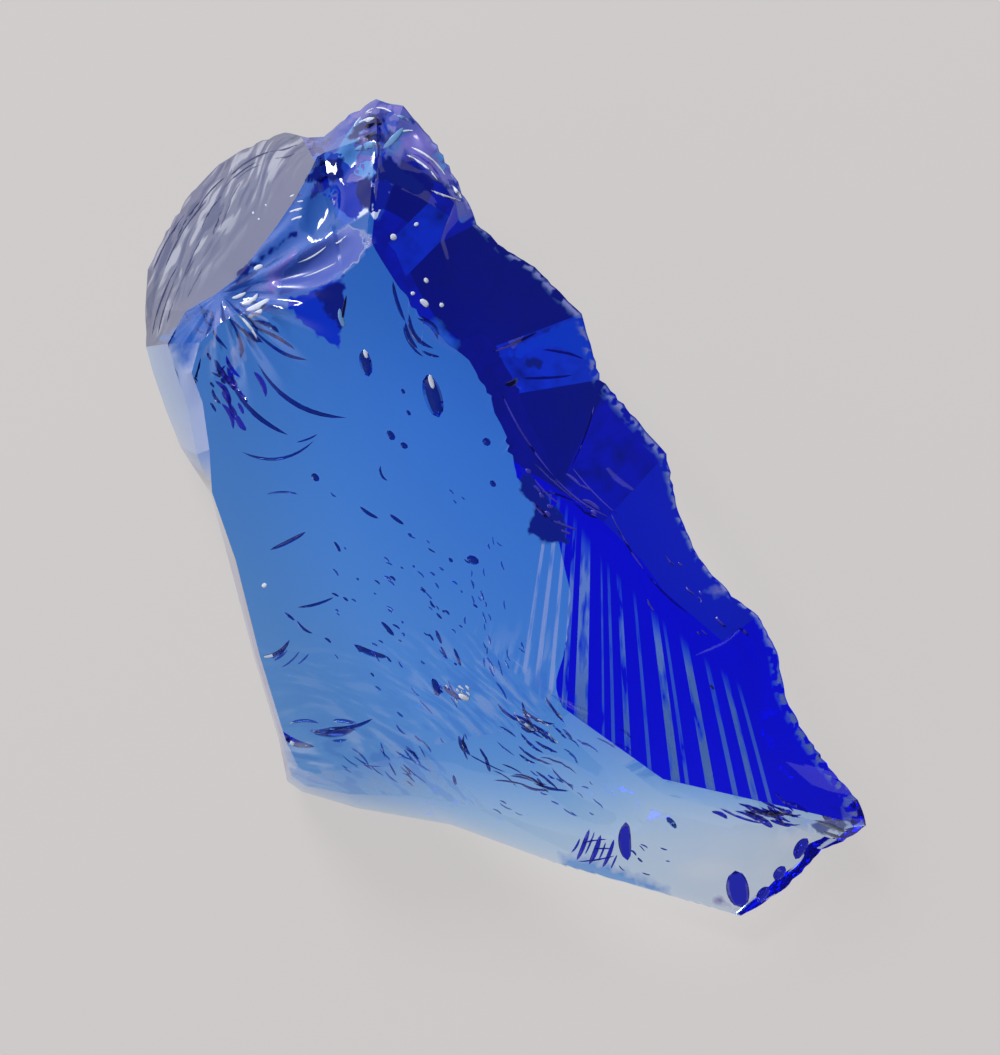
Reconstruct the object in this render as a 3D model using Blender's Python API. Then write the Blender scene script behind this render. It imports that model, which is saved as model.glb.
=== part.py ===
"""A raw chunk of clear cobalt-blue glass, broken on every side and lying on its flat back.

The glass is one closed skin over a grid. Columns run round the outline. Rings run outwards from the middle of the
front table over its crest, its shoulder and the thin edge, then inwards under the edge to the foot and the middle of
the back. The back rests on z = 0, +Y runs along the chunk's length and +Z points out of the front table.
"""

import math

import bpy
import numpy as np

# Driving dimensions, in millimetres unless a name says otherwise.
METRES = 0.001
TABLE_HEIGHT = 10.6  # the front table above the back, at the origin
TABLE_RISE = (0.20, 0.20)  # how fast the table climbs towards +X and +Y
TABLE_MIDDLE = (-5.1, -2.3)  # the rings of the front start here
BACK_MIDDLE = (-5.1, -9.9)  # the rings of the back end here, in sight of the whole foot outline
COLUMN_STEP = 1.0  # widest column at the edge

# Rings in each band of the skin.
TABLE_RINGS = 9
FRACTURE_RINGS = 7
FLANK_RINGS = 8
UNDERCUT_RINGS = 4

# Each station is (edge x, y, z, shoulder x, y, z, crest x, y, foot x, y). The crest lies on the table and the foot on
# z = 0. They run clockwise.
KNOB = [
    (-8.7, 17.8, 5.6, -8.6, 16.8, 9.2, -7.6, 11.0, -8.5, 16.8),
    (-7.5, 18.8, 5.8, -7.4, 17.2, 9.4, -7.1, 11.4, -7.4, 17.7),
    (-6.2, 19.5, 6.4, -6.1, 17.7, 9.6, -6.6, 11.9, -6.3, 18.3),
    (-4.9, 19.1, 7.8, -6.0, 15.5, 10.8, -6.3, 12.5, -5.3, 17.9),
    (-3.3, 17.2, 8.2, -4.0, 14.6, 10.4, -6.1, 12.1, -4.0, 16.3),
    (-2.2, 15.2, 8.6, -2.7, 13.8, 9.9, -5.8, 11.6, -2.9, 14.6),
]
RIGHT_FACETS = [
    (-1.4, 13.5, 8.7, -3.2, 12.5, 10.5, -5.1, 10.5, -1.9, 13.0),
    (-0.2, 12.4, 8.2, -2.6, 10.5, 10.6, -4.4, 9.5, -0.8, 12.0),
    (1.3, 11.5, 7.9, -1.8, 9.0, 10.7, -3.7, 8.6, 0.6, 11.1),
    (3.5, 9.3, 8.0, -0.5, 7.7, 11.2, -1.8, 7.0, 2.7, 9.0),
    (4.0, 7.6, 7.9, 0.1, 6.4, 10.8, -1.2, 6.0, 3.2, 7.4),
    (4.4, 6.2, 8.0, 0.6, 5.5, 10.9, -0.7, 5.2, 3.6, 6.0),
    (4.7, 5.9, 7.9, 2.5, 1.2, 10.4, -0.1, 3.4, 4.0, 5.5),
    (7.5, 2.7, 7.9, 4.5, -0.5, 10.6, 0.5, 1.6, 6.5, 2.5),
    (8.0, 0.1, 8.0, 6.3, -2.3, 10.0, 1.7, -0.2, 7.0, 0.0),
    (9.0, -2.2, 8.2, 7.3, -3.7, 10.0, 2.6, -1.8, 7.9, -2.2),
    (10.6, -4.0, 8.4, 8.7, -4.9, 9.8, 2.9, -4.2, 9.3, -4.1),
    (11.8, -4.9, 8.6, 10.1, -6.1, 9.6, 2.8, -5.9, 10.3, -5.1),
]
STRIATED_FLANK = [
    (12.7, -6.6, 8.4, 8.7, -6.8, 9.4, 2.6, -6.9, 11.1, -6.6),
    (13.1, -8.7, 7.6, 8.5, -7.8, 9.0, 2.4, -7.5, 11.5, -8.5),
    (14.0, -10.4, 6.6, 8.5, -9.0, 8.4, 2.3, -7.9, 12.2, -10.0),
    (15.5, -12.4, 5.0, 8.7, -10.4, 7.4, 2.3, -8.3, 13.5, -11.7),
    (16.8, -13.8, 3.4, 9.2, -11.7, 6.4, 2.4, -8.7, 15.0, -13.1),
    (17.3, -15.1, 2.2, 7.4, -12.7, 5.9, 2.6, -9.2, 16.3, -14.6),
]
THIN_FOOT = [
    (16.2, -15.9, 1.3, 7.4, -13.5, 3.9, 2.3, -9.6, 15.7, -15.5),
    (15.2, -16.3, 1.2, 7.0, -14.3, 2.9, 1.9, -9.8, 14.7, -16.0),
    (14.2, -17.4, 1.2, 6.4, -15.2, 2.4, 1.4, -10.0, 13.7, -17.1),
    (13.0, -18.5, 1.2, 5.5, -15.6, 2.2, 0.7, -10.3, 12.6, -18.1),
    (11.3, -19.5, 1.2, 4.4, -15.9, 2.2, -0.2, -10.6, 10.9, -19.2),
    (7.8, -18.5, 1.2, 2.3, -15.4, 2.6, -1.8, -10.8, 7.3, -18.1),
    (2.5, -17.0, 1.2, -0.8, -14.3, 3.5, -3.7, -11.3, 2.1, -16.6),
    (-2.7, -15.1, 1.2, -4.4, -13.6, 4.3, -5.6, -11.7, -3.1, -14.6),
    (-7.2, -14.3, 1.3, -7.5, -13.5, 4.4, -7.7, -12.2, -7.4, -13.7),
    (-9.9, -13.5, 1.3, -9.6, -13.1, 4.2, -9.3, -12.5, -9.6, -13.0),
]
LEFT_WALL = [
    (-10.6, -13.0, 1.2, -10.3, -12.6, 4.2, -9.9, -12.1, -10.3, -12.6),
    (-11.0, -11.0, 1.2, -10.8, -10.9, 3.8, -10.5, -10.8, -10.5, -10.8),
    (-12.2, -7.0, 1.2, -12.0, -6.9, 4.0, -11.7, -6.8, -11.7, -6.8),
    (-13.4, -2.4, 1.2, -13.1, -2.4, 4.2, -12.8, -2.3, -12.9, -2.3),
    (-14.3, 0.9, 1.3, -14.1, 0.9, 4.6, -13.9, 0.9, -13.7, 0.9),
    (-15.7, 3.1, 1.8, -14.7, 2.7, 6.2, -14.0, 2.9, -14.8, 3.0),
    (-16.4, 4.9, 2.2, -15.1, 4.8, 6.6, -14.3, 5.1, -15.3, 5.0),
    (-17.0, 6.7, 2.6, -15.6, 6.5, 7.2, -14.8, 6.5, -15.6, 6.6),
]
FROSTED_FACET = [
    (-17.3, 7.9, 3.0, -16.0, 7.9, 7.8, -14.4, 7.9, -15.6, 7.9),
    (-17.3, 9.7, 3.2, -15.1, 9.4, 8.6, -13.4, 8.8, -15.5, 9.3),
    (-17.2, 11.6, 3.2, -13.8, 10.1, 9.1, -12.7, 9.2, -15.5, 10.7),
    (-16.3, 13.4, 3.3, -12.7, 10.9, 9.4, -11.7, 9.2, -14.8, 12.1),
    (-15.1, 15.3, 3.4, -11.9, 11.9, 9.7, -10.3, 9.5, -13.8, 13.7),
    (-13.8, 16.6, 3.6, -10.8, 13.3, 10.0, -9.1, 9.9, -12.5, 14.8),
    (-12.2, 17.5, 3.9, -9.9, 14.6, 10.1, -8.3, 10.4, -11.0, 15.4),
    (-10.6, 18.1, 4.4, -9.2, 15.9, 9.9, -7.9, 10.7, -9.6, 15.3),
    (-9.5, 17.8, 5.0, -8.9, 16.6, 9.6, -7.7, 10.9, -9.3, 16.6),
]
STATIONS = np.array(KNOB + RIGHT_FACETS + STRIATED_FLANK + THIN_FOOT + LEFT_WALL + FROSTED_FACET)

# Scoops left by flakes: centre x, y, half length, half width, turn in degrees, depth.
SCOOPS = [
    (-9.0, 11.4, 2.2, 0.9, 28.0, 0.42),  # the crescent above the table
    (-8.6, 14.2, 1.6, 0.8, 75.0, 0.45),
    (-12.0, 10.0, 1.3, 0.7, 15.0, 0.50),
    (-5.2, 17.6, 1.4, 0.8, -35.0, 0.45),
    (-7.2, 16.4, 1.1, 0.6, 60.0, 0.35),
    (1.6, 8.2, 1.8, 0.7, 25.0, 0.30),
    (5.6, 2.2, 1.6, 1.0, -45.0, 0.30),
    (10.6, -6.2, 1.3, 0.7, -35.0, 0.25),
    (14.4, -15.6, 1.6, 0.7, 20.0, 0.40),
    (9.6, -17.2, 1.9, 0.8, 5.0, 0.35),
    (3.2, -13.2, 2.6, 1.0, -35.0, 0.30),
    (-13.2, 6.2, 1.5, 0.6, 50.0, 0.35),
]

# Ripples and ridges that the break left in the front.
RIPPLE_COUNT = 3.0  # waves across the frosted facet
RIPPLE_HEIGHT = 0.16
HACKLE_CENTRE = (-13.5, 10.2)  # where the break began
HACKLE_COUNT = 19  # ridges in a full turn round it
HACKLE_REACH = 3.4  # how far from the centre they are highest
HACKLE_HEIGHT = 0.22
STREAK_SPACING = 1.5  # between the upright ribs of the striated flank
STREAK_LEAN = 0.16  # their drift towards +X for each mm down
STREAK_HEIGHT = 0.14
STREAK_MIDDLE = (7.4, -8.6)
STREAK_REACH = (4.2, 3.4)

# Hollows that flakes left side by side under the edge.
FLAKE_WIDTH = 3.1
FLAKE_DEPTH = 0.03  # as a share of the edge's height
FLAKE_LEAN = 2.0  # radians of the row's wave that pass from the edge to the foot

CREASE_ANGLE = math.radians(18.0)
GLASS_COLOUR = (0.05, 0.19, 0.62, 1.0)


def table_height(xy):
    """The sloping plane that the table and its crest lie on."""
    return TABLE_HEIGHT + xy[:, 0] * TABLE_RISE[0] + xy[:, 1] * TABLE_RISE[1]


def woven(stations):
    """Columns laid between the stations by straight lines, none wider at the edge than COLUMN_STEP."""
    following = np.roll(stations, -1, axis=0)
    widths = np.linalg.norm((following - stations)[:, :2], axis=1)
    columns = []
    for start, end, width in zip(stations, following, widths):
        count = max(1, math.ceil(width / COLUMN_STEP))
        steps = np.arange(count)[:, None] / count
        columns.append(start + (end - start) * steps)
    return np.vstack(columns)


def between(inner, outer, count):
    """Rings from inner to outer, with the last ring and without the first."""
    return [inner + (outer - inner) * step / count for step in range(1, count + 1)]


def scooped(points):
    """Each scoop is an oval bowl with a crisp rim."""
    for x, y, half_length, half_width, turn, depth in SCOOPS:
        angle = math.radians(turn)
        along = (points[:, 0] - x) * math.cos(angle) + (points[:, 1] - y) * math.sin(angle)
        across = (points[:, 1] - y) * math.cos(angle) - (points[:, 0] - x) * math.sin(angle)
        reach = (along / half_length) ** 2 + (across / half_width) ** 2
        points[:, 2] -= depth * np.clip(1.0 - reach, 0.0, 1.0)


def rippled(points, outwards, frost):
    """Waves parallel to the edge, strongest halfway down the frosted facet."""
    swell = math.sin(math.pi * outwards) * math.sin(2.0 * math.pi * RIPPLE_COUNT * outwards)
    points[:, 2] += RIPPLE_HEIGHT * swell * frost


def hackled(points):
    """Ridges that fan out from the point where the break began."""
    away = points[:, :2] - HACKLE_CENTRE
    distance = np.linalg.norm(away, axis=1)
    bearing = np.arctan2(away[:, 1], away[:, 0])
    strength = np.exp(-(((distance - HACKLE_REACH) / (0.5 * HACKLE_REACH)) ** 2))
    points[:, 2] += HACKLE_HEIGHT * strength * np.sin(HACKLE_COUNT * bearing)


def streaked(points):
    """Upright ribs on the striated flank, fading out towards its rim."""
    across = points[:, 0] + STREAK_LEAN * points[:, 1]
    spread = (points[:, :2] - STREAK_MIDDLE) / STREAK_REACH
    strength = np.clip(1.0 - (spread**2).sum(axis=1), 0.0, 1.0)
    points[:, 2] += STREAK_HEIGHT * strength * np.sin(2.0 * math.pi * across / STREAK_SPACING)


def flaked(points, downwards, edge, crest):
    """A row of shallow hollows round the undercut, deepest halfway down it."""
    steps = np.linalg.norm(np.diff(edge[:, :2], axis=0), axis=1)
    walk = np.concatenate([[0.0], np.cumsum(steps)])
    outwards = edge[:, :2] - crest[:, :2]
    outwards /= np.linalg.norm(outwards, axis=1)[:, None]
    wave = np.abs(np.sin(math.pi * walk / FLAKE_WIDTH + FLAKE_LEAN * downwards))
    depth = FLAKE_DEPTH * edge[:, 2] * math.sin(math.pi * downwards) * wave
    points[:, :2] -= outwards * depth[:, None]


def skin_rings():
    """Every ring of the skin, from just outside the table's middle to the foot."""
    columns = woven(np.column_stack([STATIONS, frost_weights()]))
    edge = columns[:, 0:3]
    shoulder = columns[:, 3:6]
    crest = np.column_stack([columns[:, 6:8], table_height(columns[:, 6:8])])
    foot = np.column_stack([columns[:, 8:10], np.zeros(len(columns))])
    frost = columns[:, 10]

    rings = between(table_middle(), crest, TABLE_RINGS)
    upper = between(crest, shoulder, FRACTURE_RINGS)
    for ring in rings + upper:
        hackled(ring)
    flank = between(shoulder, edge, FLANK_RINGS)
    for number, ring in enumerate(flank, start=1):
        rippled(ring, number / FLANK_RINGS, frost)
    for ring in rings + upper + flank[:-1]:
        streaked(ring)
        scooped(ring)
    undercut = between(edge, foot, UNDERCUT_RINGS)
    for number, ring in enumerate(undercut, start=1):
        flaked(ring, number / UNDERCUT_RINGS, edge, crest)
    return rings + upper + flank + undercut


def frost_weights():
    """1 at the stations inside the frosted facet and 0 elsewhere."""
    weights = np.zeros(len(STATIONS))
    weights[1 - len(FROSTED_FACET) : -1] = 1.0
    return weights


def table_middle():
    return np.array([*TABLE_MIDDLE, table_height(np.array([TABLE_MIDDLE]))[0]])


def skin_faces(ring_count, column_count):
    """Quads between neighbouring rings, and a fan of triangles on each middle point. The rings run clockwise."""
    column = np.arange(column_count)
    following = np.roll(column, -1)
    faces = [(0, 1 + after, 1 + here) for here, after in zip(column, following)]
    for ring in range(ring_count - 1):
        inner = 1 + ring * column_count
        outer = inner + column_count
        faces += zip(inner + column, inner + following, outer + following, outer + column)
    last = 1 + (ring_count - 1) * column_count
    bottom = last + column_count
    faces += [(bottom, last + here, last + after) for here, after in zip(column, following)]
    return [tuple(int(corner) for corner in face) for face in faces]


def glass_material():
    material = bpy.data.materials.new("cobalt_glass")
    material.use_nodes = True
    shader = material.node_tree.nodes["Principled BSDF"]
    shader.inputs["Base Color"].default_value = GLASS_COLOUR
    shader.inputs["Roughness"].default_value = 0.04
    shader.inputs["Metallic"].default_value = 0.0
    shader.inputs["IOR"].default_value = 1.5
    shader.inputs["Transmission Weight"].default_value = 1.0
    return material


def glass_chunk():
    rings = skin_rings()
    points = np.vstack([table_middle(), *rings, [*BACK_MIDDLE, 0.0]]) * METRES
    mesh = bpy.data.meshes.new("glass_chunk")
    mesh.from_pydata(points.tolist(), [], skin_faces(len(rings), len(rings[0])))
    mesh.shade_smooth()
    mesh.set_sharp_from_angle(angle=CREASE_ANGLE)
    mesh.materials.append(glass_material())
    chunk = bpy.data.objects.new("glass_chunk", mesh)
    bpy.context.scene.collection.objects.link(chunk)
    return chunk


def main():
    for leftover in list(bpy.data.objects):
        bpy.data.objects.remove(leftover)
    glass_chunk()


main()
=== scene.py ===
import math

import bpy
import numpy as np
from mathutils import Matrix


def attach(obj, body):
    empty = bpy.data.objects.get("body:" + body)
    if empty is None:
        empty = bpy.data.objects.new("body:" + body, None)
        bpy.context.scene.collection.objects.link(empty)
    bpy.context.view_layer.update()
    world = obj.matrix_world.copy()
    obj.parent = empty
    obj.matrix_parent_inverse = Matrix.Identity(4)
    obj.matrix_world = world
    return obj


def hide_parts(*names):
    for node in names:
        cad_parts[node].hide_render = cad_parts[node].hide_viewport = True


# A raw chunk of cobalt-blue glass lies on its flat back on a pale floor, and the camera looks straight
# down on it. Shapes are worked out in millimetres and put into the meshes in metres.

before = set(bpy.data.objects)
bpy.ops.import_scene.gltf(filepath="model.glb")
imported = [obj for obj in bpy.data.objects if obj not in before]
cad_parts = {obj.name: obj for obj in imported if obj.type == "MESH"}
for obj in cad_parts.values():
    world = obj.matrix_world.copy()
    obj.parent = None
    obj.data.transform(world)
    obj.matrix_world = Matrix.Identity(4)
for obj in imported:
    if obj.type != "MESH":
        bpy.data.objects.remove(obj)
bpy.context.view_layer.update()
metres = 0.001


# Each station is (edge x, y, z, shoulder x, y, z, crest x, y, foot x, y), and the stations run clockwise.
# The crest lies on the table, which is the nearly level top, and the foot lies on the floor.
knob = [
    (-8.7, 17.8, 5.6, -8.6, 16.8, 9.2, -7.6, 11.0, -8.5, 16.8),
    (-7.5, 18.8, 5.8, -7.4, 17.2, 9.4, -7.1, 11.4, -7.4, 17.7),
    (-6.2, 19.5, 6.4, -6.1, 17.7, 9.6, -6.6, 11.9, -6.3, 18.3),
    (-4.9, 19.1, 7.8, -6.0, 15.5, 10.8, -6.3, 12.5, -5.3, 17.9),
    (-3.3, 17.2, 8.2, -4.0, 14.6, 10.4, -6.1, 12.1, -4.0, 16.3),
    (-2.2, 15.2, 8.6, -2.7, 13.8, 9.9, -5.8, 11.6, -2.9, 14.6),
]
rightFacets = [
    (-1.4, 13.5, 8.7, -3.2, 12.5, 10.5, -5.1, 10.5, -1.9, 13.0),
    (-0.2, 12.4, 8.2, -2.6, 10.5, 10.6, -4.4, 9.5, -0.8, 12.0),
    (1.3, 11.5, 7.9, -1.8, 9.0, 10.7, -3.7, 8.6, 0.6, 11.1),
    (3.5, 9.3, 8.0, -0.5, 7.7, 11.2, -1.8, 7.0, 2.7, 9.0),
    (4.0, 7.6, 7.9, 0.1, 6.4, 10.8, -1.2, 6.0, 3.2, 7.4),
    (4.4, 6.2, 8.0, 0.6, 5.5, 10.9, -0.7, 5.2, 3.6, 6.0),
    (4.7, 5.9, 7.9, 2.5, 1.2, 10.4, -0.1, 3.4, 4.0, 5.5),
    (7.5, 2.7, 7.9, 4.5, -0.5, 10.6, 0.5, 1.6, 6.5, 2.5),
    (8.0, 0.1, 8.0, 6.3, -2.3, 10.0, 1.7, -0.2, 7.0, 0.0),
    (9.0, -2.2, 8.2, 7.3, -3.7, 10.0, 2.6, -1.8, 7.9, -2.2),
    (10.6, -4.0, 8.4, 8.7, -4.9, 9.8, 2.9, -4.2, 9.3, -4.1),
    (11.8, -4.9, 8.6, 10.1, -6.1, 9.6, 2.8, -5.9, 10.3, -5.1),
]
striatedFlank = [
    (12.7, -6.6, 8.4, 8.7, -6.8, 9.4, 2.6, -6.9, 11.1, -6.6),
    (13.1, -8.7, 7.6, 8.5, -7.8, 9.0, 2.4, -7.5, 11.5, -8.5),
    (14.0, -10.4, 6.6, 8.5, -9.0, 8.4, 2.3, -7.9, 12.2, -10.0),
    (15.5, -12.4, 5.0, 8.7, -10.4, 7.4, 2.3, -8.3, 13.5, -11.7),
    (16.8, -13.8, 3.4, 9.2, -11.7, 6.4, 2.4, -8.7, 15.0, -13.1),
    (17.3, -15.1, 2.2, 7.4, -12.7, 5.9, 2.6, -9.2, 16.3, -14.6),
]
thinFoot = [
    (16.2, -15.9, 1.3, 7.4, -13.5, 3.9, 2.3, -9.6, 15.7, -15.5),
    (15.2, -16.3, 1.2, 7.0, -14.3, 2.9, 1.9, -9.8, 14.7, -16.0),
    (14.2, -17.4, 1.2, 6.4, -15.2, 2.4, 1.4, -10.0, 13.7, -17.1),
    (13.0, -18.5, 1.2, 5.5, -15.6, 2.2, 0.7, -10.3, 12.6, -18.1),
    (11.3, -19.5, 1.2, 4.4, -15.9, 2.2, -0.2, -10.6, 10.9, -19.2),
    (7.8, -18.5, 1.2, 2.3, -15.4, 2.6, -1.8, -10.8, 7.3, -18.1),
    (2.5, -17.0, 1.2, -0.8, -14.3, 3.5, -3.7, -11.3, 2.1, -16.6),
    (-2.7, -15.1, 1.2, -4.4, -13.6, 4.3, -5.6, -11.7, -3.1, -14.6),
    (-7.2, -14.3, 1.3, -7.5, -13.5, 4.4, -7.7, -12.2, -7.4, -13.7),
    (-9.9, -13.5, 1.3, -9.6, -13.1, 4.2, -9.3, -12.5, -9.6, -13.0),
]
leftWall = [
    (-10.6, -13.0, 1.2, -10.3, -12.6, 4.2, -9.9, -12.1, -10.3, -12.6),
    (-11.0, -11.0, 1.2, -10.8, -10.9, 3.8, -10.5, -10.8, -10.5, -10.8),
    (-12.2, -7.0, 1.2, -12.0, -6.9, 4.0, -11.7, -6.8, -11.7, -6.8),
    (-13.4, -2.4, 1.2, -13.1, -2.4, 4.2, -12.8, -2.3, -12.9, -2.3),
    (-14.3, 0.9, 1.3, -14.1, 0.9, 4.6, -13.9, 0.9, -13.7, 0.9),
    (-15.7, 3.1, 1.8, -14.7, 2.7, 6.2, -14.0, 2.9, -14.8, 3.0),
    (-16.4, 4.9, 2.2, -15.1, 4.8, 6.6, -14.3, 5.1, -15.3, 5.0),
    (-17.0, 6.7, 2.6, -15.6, 6.5, 7.2, -14.8, 6.5, -15.6, 6.6),
]
frostedFacet = [
    (-17.3, 7.9, 3.0, -16.0, 7.9, 7.8, -14.4, 7.9, -15.6, 7.9),
    (-17.3, 9.7, 3.2, -15.1, 9.4, 8.6, -13.4, 8.8, -15.5, 9.3),
    (-17.2, 11.6, 3.2, -13.8, 10.1, 9.1, -12.7, 9.2, -15.5, 10.7),
    (-16.3, 13.4, 3.3, -12.7, 10.9, 9.4, -11.7, 9.2, -14.8, 12.1),
    (-15.1, 15.3, 3.4, -11.9, 11.9, 9.7, -10.3, 9.5, -13.8, 13.7),
    (-13.8, 16.6, 3.6, -10.8, 13.3, 10.0, -9.1, 9.9, -12.5, 14.8),
    (-12.2, 17.5, 3.9, -9.9, 14.6, 10.1, -8.3, 10.4, -11.0, 15.4),
    (-10.6, 18.1, 4.4, -9.2, 15.9, 9.9, -7.9, 10.7, -9.6, 15.3),
    (-9.5, 17.8, 5.0, -8.9, 16.6, 9.6, -7.7, 10.9, -9.3, 16.6),
]
sides = [knob, rightFacets, striatedFlank, thinFoot, leftWall, frostedFacet]

chunk = {
    "tableHeight": 10.6, "tableRise": (0.20, 0.20),
    "tableMiddle": (-5.1, -2.3), "backMiddle": (-5.1, -9.9),
    "columnWidth": 0.30,                         # mm along the outline
    "leastColumns": 3,                           # in a short interval between stations
    "bands": (52, 30, 40, 26, 8),                # rings from middle to crest, shoulder, edge, foot and middle
    "crease": 12.0,                              # degrees between faces that meet at a sharp edge
    # stations and levels where the crest is rounded, each with its softness, and over how many rings
    "softCrest": (22.6, 34.4, 0.6), "softLevels": (0.85, 1.25, 0.45), "softRings": 13,
    # hollows left by flakes: centre x, y, half length, half width, turn in degrees, depth
    "scoops": [
        (-9.0, 11.4, 2.2, 0.9, 28.0, 0.42), (-8.6, 14.2, 1.6, 0.8, 75.0, 0.45),
        (-12.0, 10.0, 1.3, 0.7, 15.0, 0.5), (-5.2, 17.6, 1.4, 0.8, -35.0, 0.45),
        (-7.2, 16.4, 1.1, 0.6, 60.0, 0.35), (1.6, 8.2, 1.8, 0.7, 25.0, 0.3),
        (5.6, 2.2, 1.6, 1.0, -45.0, 0.3), (10.6, -6.2, 1.3, 0.7, -35.0, 0.25),
        (14.4, -15.6, 1.6, 0.7, 20.0, 0.4), (9.6, -17.2, 1.9, 0.8, 5.0, 0.35),
        (3.2, -13.2, 2.6, 1.0, -35.0, 0.3), (-13.2, 6.2, 1.5, 0.6, 50.0, 0.35)],
    "hackleCentre": (-13.5, 10.2), "hackleCount": 19, "hackleReach": 3.4, "hackleHeight": 0.16,
    # waves across the frosted facet, with the stations and levels between which they lie
    "rippleCount": 7.0, "rippleHeight": 0.05,
    "rippleStations": (43.0, 49.5, 0.8), "rippleLevels": (2.45, 2.92, 0.12),
    "fanCentre": (4.1, 15.0),                    # the flank's ribs point away from here
    # small bowls: where they lie, as zone() reads it, mm apart, height, rise of the rims, drop of the middles
    "chipZone": [
        (0.0, 4.5, 0.8, 1.4, 1.9, 1.0), (49.6, 51.0, 0.4, 1.4, 1.9, 1.0), (23.6, 26.2, 0.5, 2.1, 2.6, 1.0)],
    "chipSpacing": 1.3, "chipHeight": 0.22, "chipRise": 1.6, "chipDrop": 0.45,
    "chipArea": 44.0,                            # side of the square that the bowls' places fill
    "chipSeed": 5,
    # hollows side by side under the edge: width, depth as a share of the edge's height, lean in radians
    "flakes": [(3.1, 0.03, 2.0), (1.1, 0.004, -3.0)],
    # small bites: level, first and last station, width, depth
    "nibbles": [
        (3.0, 0.5, 30.0, 0.9, 0.12), (3.0, 42.6, 49.4, 1.5, 0.10),
        (1.0, 6.5, 17.5, 1.3, 0.24), (2.0, 6.0, 12.5, 1.6, 0.24)],
    "nibbleStrength": (0.3, 0.9),                # the least, and how much more where it comes and goes
}
crestRing = chunk["bands"][0]
edgeRing = sum(chunk["bands"][:3])


def tableHeight(x, y):
    # height = a level plus the rise along X and along Y
    return chunk["tableHeight"] + x * chunk["tableRise"][0] + y * chunk["tableRise"][1]


def stationColumns():
    # along(u): the station number that rises evenly between stations, with a whole number at every station
    stations = np.array(sum(sides, []))
    closed = np.vstack([stations, stations[:1]])
    widths = np.hypot(*np.diff(closed[:, :2], axis=0).T)
    counts = np.maximum(np.ceil(widths / chunk["columnWidth"]).astype(int), chunk["leastColumns"])
    interval = np.repeat(np.arange(len(stations)), counts)
    starts = np.concatenate([[0], np.cumsum(counts)[:-1]])
    along = interval + (np.arange(len(interval)) - starts[interval]) / counts[interval]
    rows = np.stack([np.interp(along, np.arange(len(closed)), closed[:, k]) for k in range(10)], axis=1)
    return rows, along


def skinGrid():
    # point(v, u): straight lines from the table's middle through crest, shoulder, edge and foot to the
    # middle of the back; a ring's level is 0 at the table's middle and rises by 1 from each to the next
    rows, along = stationColumns()
    edge, shoulder = rows[:, 0:3], rows[:, 3:6]
    crest = np.column_stack([rows[:, 6:8], tableHeight(rows[:, 6], rows[:, 7])])
    foot = np.column_stack([rows[:, 8:10], np.zeros(len(rows))])
    top = np.broadcast_to([*chunk["tableMiddle"], tableHeight(*chunk["tableMiddle"])], edge.shape)
    bottom = np.broadcast_to([*chunk["backMiddle"], 0.0], edge.shape)
    rings = np.stack([top, crest, shoulder, edge, foot, bottom])
    levels = np.concatenate([[0.0]] + [i + np.arange(1, n + 1) / n for i, n in enumerate(chunk["bands"])])
    weights = np.clip(1.0 - np.abs(levels[:, None] - np.arange(6)[None, :]), 0.0, 1.0)
    return np.einsum("vk,kuc->vuc", weights, rings), levels, along


def roundedCrest(grid, levels, along):
    # a moving mean over neighbouring rings, twice, that fades out away from the crest's level
    half = chunk["softRings"]
    soft = grid.copy()
    for _ in range(2):
        total = np.zeros_like(grid)
        for k in range(-half, half + 1):
            total += soft[np.clip(np.arange(len(levels)) + k, 0, len(levels) - 1)]
        soft = total / (2 * half + 1)
    weight = window(along, *chunk["softCrest"])[None, :] * window(levels, *chunk["softLevels"])[:, None]
    height = grid[..., 2] + (soft[..., 2] - grid[..., 2]) * weight
    return np.dstack([grid[..., :2], height])


def brokenEdges(grid, levels, along):
    # hollows under the edge, and small bites into edge, crest and shoulder: the height of a row of arches
    # whose width and strength come and go along the outline
    edge = grid[edgeRing]
    walk = np.cumsum(np.hypot(*np.diff(np.vstack([edge[:1], edge])[:, :2], axis=0).T))
    out = (edge - grid[crestRing])[:, :2]
    out /= np.hypot(out[:, 0], out[:, 1])[:, None]
    push = np.zeros(grid.shape[:2])
    down = np.clip(levels - 3.0, 0.0, 1.0)[:, None]
    for width, depth, lean in chunk["flakes"]:
        wave = np.abs(np.sin(math.pi * walk[None, :] / width + lean * down))
        push -= depth * edge[None, :, 2] * np.sin(math.pi * down) * wave
    least, swing = chunk["nibbleStrength"]
    strength = least + swing * np.sin(walk * 0.41 + 1.3 * np.sin(walk * 0.23)) ** 2
    for place, first, last, width, depth in chunk["nibbles"]:
        arches = strength * (np.abs(np.sin(walk * math.pi / width + 2.2 * np.sin(walk * 0.9))) - 0.6)
        near = window(levels, place - 0.01, place + 0.01, 0.14)
        push += depth * near[:, None] * (arches * window(along, first, last, 0.5))[None, :]
    moved = grid.copy()
    moved[..., :2] += push[..., None] * out[None]
    return moved


def smooth(value, low, high):
    # 0 below low, 1 above high and an even curve between; low and high may change places
    t = np.clip((value - low) / (high - low), 0.0, 1.0)
    return t * t * (3.0 - 2.0 * t)


def window(value, low, high, soft):
    # 1 between low and high, with soft shoulders outside
    return smooth(value, low - soft, low) * smooth(value, high + soft, high)


def zone(places, level, station):
    # the most of several patches, each strength * between two stations, softly, * rising from level to level
    parts = [strength * window(station, first, last, soft) * smooth(level, low, high)
             for first, last, soft, low, high, strength in places]
    return np.max(parts, axis=0)


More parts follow.
